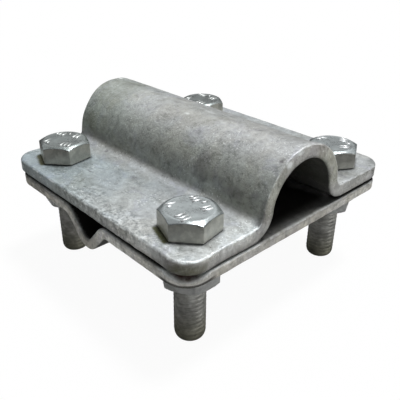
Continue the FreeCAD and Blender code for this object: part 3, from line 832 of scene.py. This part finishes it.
def upper_plate():
    # The middle skin: flanges, feet that swing up and a crown, all tangent to each other
    mid_foot, mid_crown = FOOT_RADIUS + UPPER_THICK / 2, ARCH_RADIUS + UPPER_THICK / 2
    lift = FOOT_RADIUS - ARCH_RISE
    out = math.sqrt((mid_foot + mid_crown) ** 2 - lift ** 2)
    swing = 90 - math.degrees(math.atan2(lift, out))
    foot, crown = mid_foot * math.radians(swing), mid_crown * math.radians(2 * swing)
    flange = PLATE_Y / 2 - out
    bend = Bend((-PLATE_Y / 2, FLANGE_TOP - UPPER_THICK / 2),
                [(flange, 0), (foot, swing), (crown, -2 * swing), (foot, swing), (flange, 0)])
    half_v = bend.length / 2
    hole_v = half_v - (PLATE_Y - PITCH_Y) / 2
    holes = [(bolt_x, math.copysign(hole_v, bolt_y)) for bolt_x, bolt_y, _, _ in BOLTS.values()]

    def rim(flat):
        across, along = flat.T
        arch = ease(-across, 35.5, 37.0) * (1 - ease(np.abs(along), 24, 30))
        return 0.42 + 0.28 * ease(-along, half_v - 4, half_v - 1) - 0.1 * arch

    def place(across, spots):
        return np.column_stack([across, spots])

    points, faces, masks, share = bent_sheet(PLATE_X / 2, bend, UPPER_THICK, holes, CORNERS_UPPER, rim,
                                             0.85, 0.10, place)
    x, y, z = points.T
    top = 1 - masks[:, 1]
    # This clamp's own bends: the arch's far end is opened out at a shoulder and its feet, its back shoulder
    # sags between the ends, the back flange is sprung up and the near corner dips
    opened, feet_opened, sagging, sprung, dipped = 0.6, 0.4, 0.55, 0.22, 0.22
    far_end = ease(-x, 30.5, 37.5)
    around = np.degrees(np.arctan2(y, z - FLANGE_TOP - ARCH_RISE))
    shoulder = opened * far_end * np.exp(-((around + 32) / 26) ** 2) * ease(z, 33, 36)
    within_end = ease(x, -37.4, -36.3)
    sag = sagging * ease(around, 4 - 18 * within_end, 22 - 8 * within_end) * (1 - ease(around, 60, 80))
    sag *= ease(z, 34, 39) * (1 - ease(x, 33.0, 37.0))
    feet = ease(z, 30.6, 33.0) * (1 - ease(z, 37.0, 42.0)) * ease(np.abs(y), 6, 9)
    points[:, 1] += shoulder * np.sin(np.radians(around)) + np.sign(y) * feet_opened * far_end * feet
    dip = dipped * ease((x - y) / math.sqrt(2), 45, 50)
    points[:, 2] += sprung * ease(y, 8, 18) - dip - sag + shoulder * np.cos(np.radians(around))
    lumpy = paint(points, UPPER_LUMPS)[:, 0] * top
    move = 0.045 * noise(points, 9.0, 21) + 0.028 * noise(points, 3.2, 22)
    move += lumpy * (0.07 * noise(points, 1.5, 23) + 0.03)
    move += 0.03 * masks[:, 0] * (noise(points, 1.6, 24) - 1)
    for spot, reach, deep in UPPER_PITS:
        move -= deep * blob(points, spot, (reach,) * 3)
    # A long drip of zinc on the arch
    move += 0.18 * blob(points, (16.2, -13.0, 37.6), (4.2, 3.6, 5.6)) * top
    points = move_skin(points, faces, np.where(points[:, 2] > CROWN_TOP - 0.75, np.minimum(move, 0), move))
    points[:, 2] = np.clip(points[:, 2], FLANGE_TOP - UPPER_THICK, CROWN_TOP)
    masks[:, 2] = lumpy
    piece = make_piece("upper_plate_skin", points, faces, UPPER, "upper_plate", "upper_plate",
                       masks)
    stains_and_painted_light = paint(points, UPPER_STAINS_AND_DARK_REFLECTION, UPPER_PAINTED_HIGHLIGHTS, UPPER_OLIVE) * top[:, None]
    # On the flanges the first list stains only the edges, and the flanges' own list the flats
    stains_and_painted_light[:, 0] *= np.where(points[:, 2] < FLANGE_TOP + 0.4, ease(masks[:, 0], 0.0, 0.9), 1)
    stains_and_painted_light[:, 0] = np.maximum(stains_and_painted_light[:, 0], paint(points, FLANGE_STAINS)[:, 0] * top)
    painted_shade_rust_and_sheen = paint(points, [], [], UPPER_PAINTED_SHEEN)
    # Painted shade: the foot of the edges is darker, where the plates nearly touch, and a painted contact
    # shadow runs round each head
    painted_shade_rust_and_sheen[:, 0] = 0.55 * masks[:, 0] * ease(share, 0.66, 1.0)
    for bolt_x, bolt_y, head_turn, _ in BOLTS.values():
        centred = points - np.array([bolt_x, bolt_y, 0])
        from_head = np.max(hexagon(centred, HALF_FLATS, head_turn), axis=0)
        painted_shade_rust_and_sheen[:, 0] = np.maximum(painted_shade_rust_and_sheen[:, 0], 0.6 * (1 - ease(from_head, 0.1, 0.9)) * top)
        # A painted olive shadow lies beside each head, on its side away from the light
        way = math.radians(head_turn + 240)
        off = centred[:, 0] * math.cos(way) + centred[:, 1] * math.sin(way) - HALF_FLATS
        beside = -centred[:, 0] * math.sin(way) + centred[:, 1] * math.cos(way)
        strip = (1 - ease(off, 0.9, 1.5)) * ease(off, -1.0, -0.2) * (1 - ease(np.abs(beside), 3.0, 4.2)) * top
        stains_and_painted_light[:, 2] = np.maximum(stains_and_painted_light[:, 2], 1.4 * strip)
    add_layer(piece.data, "stains_and_painted_light", stains_and_painted_light)
    add_layer(piece.data, "painted_shade_rust_and_sheen", painted_shade_rust_and_sheen)


def lower_plate():
    # The middle skin: a flat, a lip, a straight flank and half the groove's floor, and the same again
    lip, floor = LIP_RADIUS + LOWER_THICK / 2, FLOOR_RADIUS + LOWER_THICK / 2
    turn = math.radians(FLANK_TURN)
    drop = GROOVE_DEPTH - FLOOR_RADIUS - LIP_RADIUS - LOWER_THICK
    out = (drop * math.cos(turn) + lip + floor) / math.sin(turn)
    flank = out * math.cos(turn) + drop * math.sin(turn)
    # The groove stands a little off the middle
    side, shift = PLATE_X / 2 - out, 0.5
    bend = Bend((-PLATE_X / 2, LOWER_TOP - LOWER_THICK / 2), [
        (side - shift, 0), (lip * turn, -FLANK_TURN), (flank, 0), (floor * 2 * turn, 2 * FLANK_TURN),
        (flank, 0), (lip * turn, -FLANK_TURN), (side + shift, 0)])
    hole_v = bend.length / 2 - (PLATE_X - PITCH_X) / 2
    holes = [(bolt_y, math.copysign(hole_v, bolt_x)) for bolt_x, bolt_y, _, _ in BOLTS.values()]

    def rim(flat):
        return 0.55 + 0.1 * noise(np.column_stack([flat, np.zeros(len(flat))]), 6.0, 35)

    def place(across, spots):
        return np.column_stack([spots[:, 0], across, spots[:, 1]])

    points, faces, masks, share = bent_sheet(PLATE_Y / 2, bend, LOWER_THICK, holes, CORNERS_LOWER, rim,
                                             0.75, 0.08, place)
    # Length and width have changed places, so the faces turn over
    faces = [face[::-1] for face in faces]
    x, y, z = points.T
    # The near edge hangs a little and the near corner's top is rolled down
    hang = 0.25 * ease(-y, 30.5, 38) * ease(x, 6, 14)
    corner = (x - y) / math.sqrt(2) - ((PLATE_X + PLATE_Y) / 2 - 2 * CORNER) / math.sqrt(2) - CORNER
    roll_length, roll_turn = 2.9, 21
    roll = np.clip(corner + roll_length, 0, 3) * math.tan(math.radians(roll_turn)) * ease(z, 23.6, LOWER_TOP)
    # Painted shade on the hidden top, between the plates: thick just inside the rim and where the plates
    # never meet, thin elsewhere
    inward = np.minimum(PLATE_X / 2 - np.abs(x), PLATE_Y / 2 - np.abs(y))
    inward = np.minimum(inward, -corner)
    rolled = ease(corner, -4.5, -2.5)
    dark = 1 - (0.55 + 0.4 * rolled) * (1 - ease(inward, 0.1 + 0.6 * rolled, 0.9 + 1.1 * rolled))
    # Thinner painted shade in patches, away from the rim and outside the arch
    lighter_patches = ease(inward + 1.2 * noise(points, 3.5, 37), 2.0, 4.5) * (1 - ease(LOWER_TOP - z, 0.3, 1.6))
    lighter_patches *= ease(np.abs(y) + 1.5 * noise(points, 4.0, 40), 12.5, 17.0)
    dark *= 1 - lighter_patches * (0.62 + 0.3 * noise(points, 6.0, 38) + 0.15 * noise(points, 1.6, 39))
    dark *= (1 - masks[:, 1]) * (1 - ease(share, 0.16, 0.42) * masks[:, 0])
    # A painted shadow line runs round the near corner's edge, over the nut
    line = ease(share + 0.08 * noise(points, 1.3, 36), 0.52, 0.68)
    dark = np.maximum(dark, 0.9 * rolled * line * masks[:, 0])
    # The arch's mouth lets some light in
    dark *= 1 - 0.2 * ease(x, 32.0, 36.8) * ease(17.0 - np.abs(y), 0, 3)
    # Painted light along the +X rim, where the plates nearly meet: less painted shade here
    painted_light_rim = ease(x, 35.7, 36.2) * ease(-y, 13, 16) * (1 - ease(-y, 30, 34)) * (1 - ease(share, 0.2, 0.6))
    dark *= 1 - painted_light_rim
    points[:, 2] -= hang + roll
    move = 0.04 * noise(points, 8.0, 31) + 0.03 * noise(points, 3.0, 32)
    move += 0.04 * masks[:, 0] * (noise(points, 1.6, 34) - 1)
    points = move_skin(points, faces, np.minimum(move, 0.03))
    # A hair of room, because the upper plate comes to rest on it when the clamp is closed
    points[:, 2] = np.minimum(points[:, 2], LOWER_TOP - 0.02)
    masks[:, 2] = 0.35 * ease(-y, 30, 38)
    piece = make_piece("lower_plate_skin", points, faces, LOWER, "lower_plate", "lower_jaw",
                       masks)
    stains_and_painted_light = paint(points, LOWER_STAINS)
    # A painted highlight on the same +X rim
    stains_and_painted_light[:, 1] = 0.3 * painted_light_rim * (1 - masks[:, 0])
    add_layer(piece.data, "stains_and_painted_light", stains_and_painted_light)
    painted_shade_rust_and_sheen = paint(points, [], LOWER_RUST, LOWER_PAINTED_SHEEN)
    painted_shade_rust_and_sheen[:, 0] = dark
    painted_shade_rust_and_sheen[:, 1] *= 1 - 0.5 * masks[:, 0]
    add_layer(piece.data, "painted_shade_rust_and_sheen", painted_shade_rust_and_sheen)


upper_plate()
lower_plate()


# Bolts and nuts

# Bars on a head: how many, distance out, angle round, half length, upright angle, spacing
MARKS = [(3, 4.38, 288.0, 1.3, 74.0, 0.88), (2, 3.73, 32.0, 1.3, 64.0, 0.9), (1, 4.13, 75.0, 0.65, 72.0, 1.0),
         (2, 3.97, 108.0, 1.1, 61.0, 1.1), (1, 5.1, 122.0, 0.7, 61.0, 1.0), (1, 4.73, 195.0, 1.3, 61.0, 1.0),
         (1, 4.6, 211.0, 0.6, 67.0, 1.0)]
# How far each head's marks are turned from the near head's, and how far it stands off the plate
MARK_TURNS = {"near": 0.0, "left": 38.0, "right": -60.0, "far": 20.0}
RAISED = {"near": 0.0, "left": 0.0, "right": 0.22, "far": 0.35}

shank = shank_mesh()
for position, (bolt_x, bolt_y, head_turn, nut_turn) in BOLTS.items():
    spot = np.array([bolt_x, bolt_y, 0])
    raised = spot + np.array([0, 0, RAISED[position]])
    bolt, nut = f"bolt_{position}", f"nut_{position}"
    marks = marks_mesh(head_turn + MARK_TURNS[position], MARKS)
    for name, shift, (points, faces), material, node, body in (
            (f"{bolt}_head", raised, head_mesh(head_turn), HEAD, bolt, bolt),
            (f"{bolt}_thread", spot, shank, THREAD, bolt, bolt),
            (f"{bolt}_marks", raised, marks, MARK, bolt, bolt),
            (f"{nut}_body", spot, nut_mesh(nut_turn), NUT, nut, "lower_jaw")):
        make_piece(name, points + shift, faces, material, node, body)


# The camera stands where the photograph was taken from
IMAGE = 400
FOCAL_PIXELS = 531.466
PRINCIPAL = (194.013, 190.848)
camera = add_object("camera", bpy.data.cameras.new("camera"))
camera.location = (0.102173, -0.09513, 0.093109)
camera.rotation_euler = [math.radians(angle) for angle in (62.37492, -0.19779, 47.49042)]
camera.data.sensor_width = 36.0
camera.data.lens = FOCAL_PIXELS / IMAGE * 36.0
camera.data.shift_x = (IMAGE / 2 - PRINCIPAL[0]) / IMAGE
camera.data.shift_y = (PRINCIPAL[1] - IMAGE / 2) / IMAGE
camera.data.clip_start = 0.001
bpy.context.scene.camera = camera


# Studio: white floor and surroundings, soft sunlight and a grey dome for the metal to mirror

FILL = 0.26
DOME_RADIUS = 0.4
FLOOR_SIDE, FLOOR_LEVEL = 4.0, -2e-5


def light_path(n):
    """1 for the rays that show the background: the camera's, a mirror's and a glass's."""
    rays = n.add("ShaderNodeLightPath").outputs
    seen = n.math("MAXIMUM", rays["Is Camera Ray"], rays["Is Glossy Ray"])
    return n.math("MAXIMUM", seen, rays["Is Transmission Ray"])


def surroundings():
    n = Nodes(bpy.data.worlds.new("studio"))
    bpy.context.scene.world = n.owner
    fill, white = (n.add("ShaderNodeBackground", {"Color": (1, 1, 1), "Strength": strength})
                   for strength in (FILL, 1.0))
    n.output(n.add("ShaderNodeMixShader", {0: light_path(n), 1: fill.outputs[0], 2: white.outputs[0]}),
             "World")


def floor():
    n = Nodes("white_floor")
    matt = n.add("ShaderNodeBsdfDiffuse", {"Color": (0.9, 0.9, 0.9)})
    glow = n.add("ShaderNodeEmission", {"Color": (1, 1, 1), "Strength": 1.0})
    share = n.product(light_path(n), 0.95)
    mixed = n.add("ShaderNodeMixShader", {0: share, 1: matt.outputs[0], 2: glow.outputs[0]})
    corners = [(x * FLOOR_SIDE, y * FLOOR_SIDE, FLOOR_LEVEL) for x, y in ((-1, -1), (1, -1), (1, 1), (-1, 1))]
    add_object("floor", new_mesh("floor", corners, [[0, 1, 2, 3]], n.output(mixed)))


def dome():
    """A dome seen only in the metal: bright behind and straight above, dark on the camera's side."""
    n = Nodes("grey_dome")
    x, y, z = n.xyz(n.add("ShaderNodeTexCoord").outputs["Object"])
    away = n.math("DIVIDE", n.sum((x, -0.7), (y, 0.72)), DOME_RADIUS)
    rise = n.math("DIVIDE", z, DOME_RADIUS)
    behind = n.product(n.between(rise, 0.30, 0.70, 0.0, 1.7), n.between(away, -0.35, 0.55))
    above = n.between(rise, 0.90, 0.985, 0.0, 0.6)
    low = n.between(rise, 0.0, 0.45, 0.07, 0.20)
    level = n.math("ADD", n.math("MAXIMUM", behind, above), low)
    grey = n.output(n.add("ShaderNodeEmission", {"Color": (1, 1, 1), "Strength": level}))
    # Its own floor, just above the white one, and then the dome
    section = [(DOME_RADIUS * share, 0.0003) for share in (0.05, 0.3, 0.7)]
    section += [(DOME_RADIUS * math.cos(climb), 0.0004 + DOME_RADIUS * math.sin(climb))
                for climb in np.radians(np.arange(0, 90, 3))]
    shell = add_object("dome", new_mesh("dome", rings(section, 64), wrap(len(section), 64), grey))
    for rays in ("camera", "diffuse", "shadow", "transmission", "volume_scatter"):
        setattr(shell, f"visible_{rays}", False)


def sunlight(name, towards, strength, angle):
    data = bpy.data.lights.new(name, "SUN")
    data.energy, data.angle = strength, angle
    add_object(name, data).rotation_euler = Vector(towards).to_track_quat("Z", "Y").to_euler()


surroundings()
floor()
dome()
sunlight("key", (0.09, 0.26, 0.96), 2.65, 0.22)
sunlight("side", (0.92, 0.32, 0.12), 1.15, 0.3)

bpy.context.scene.view_settings.view_transform = "Standard"
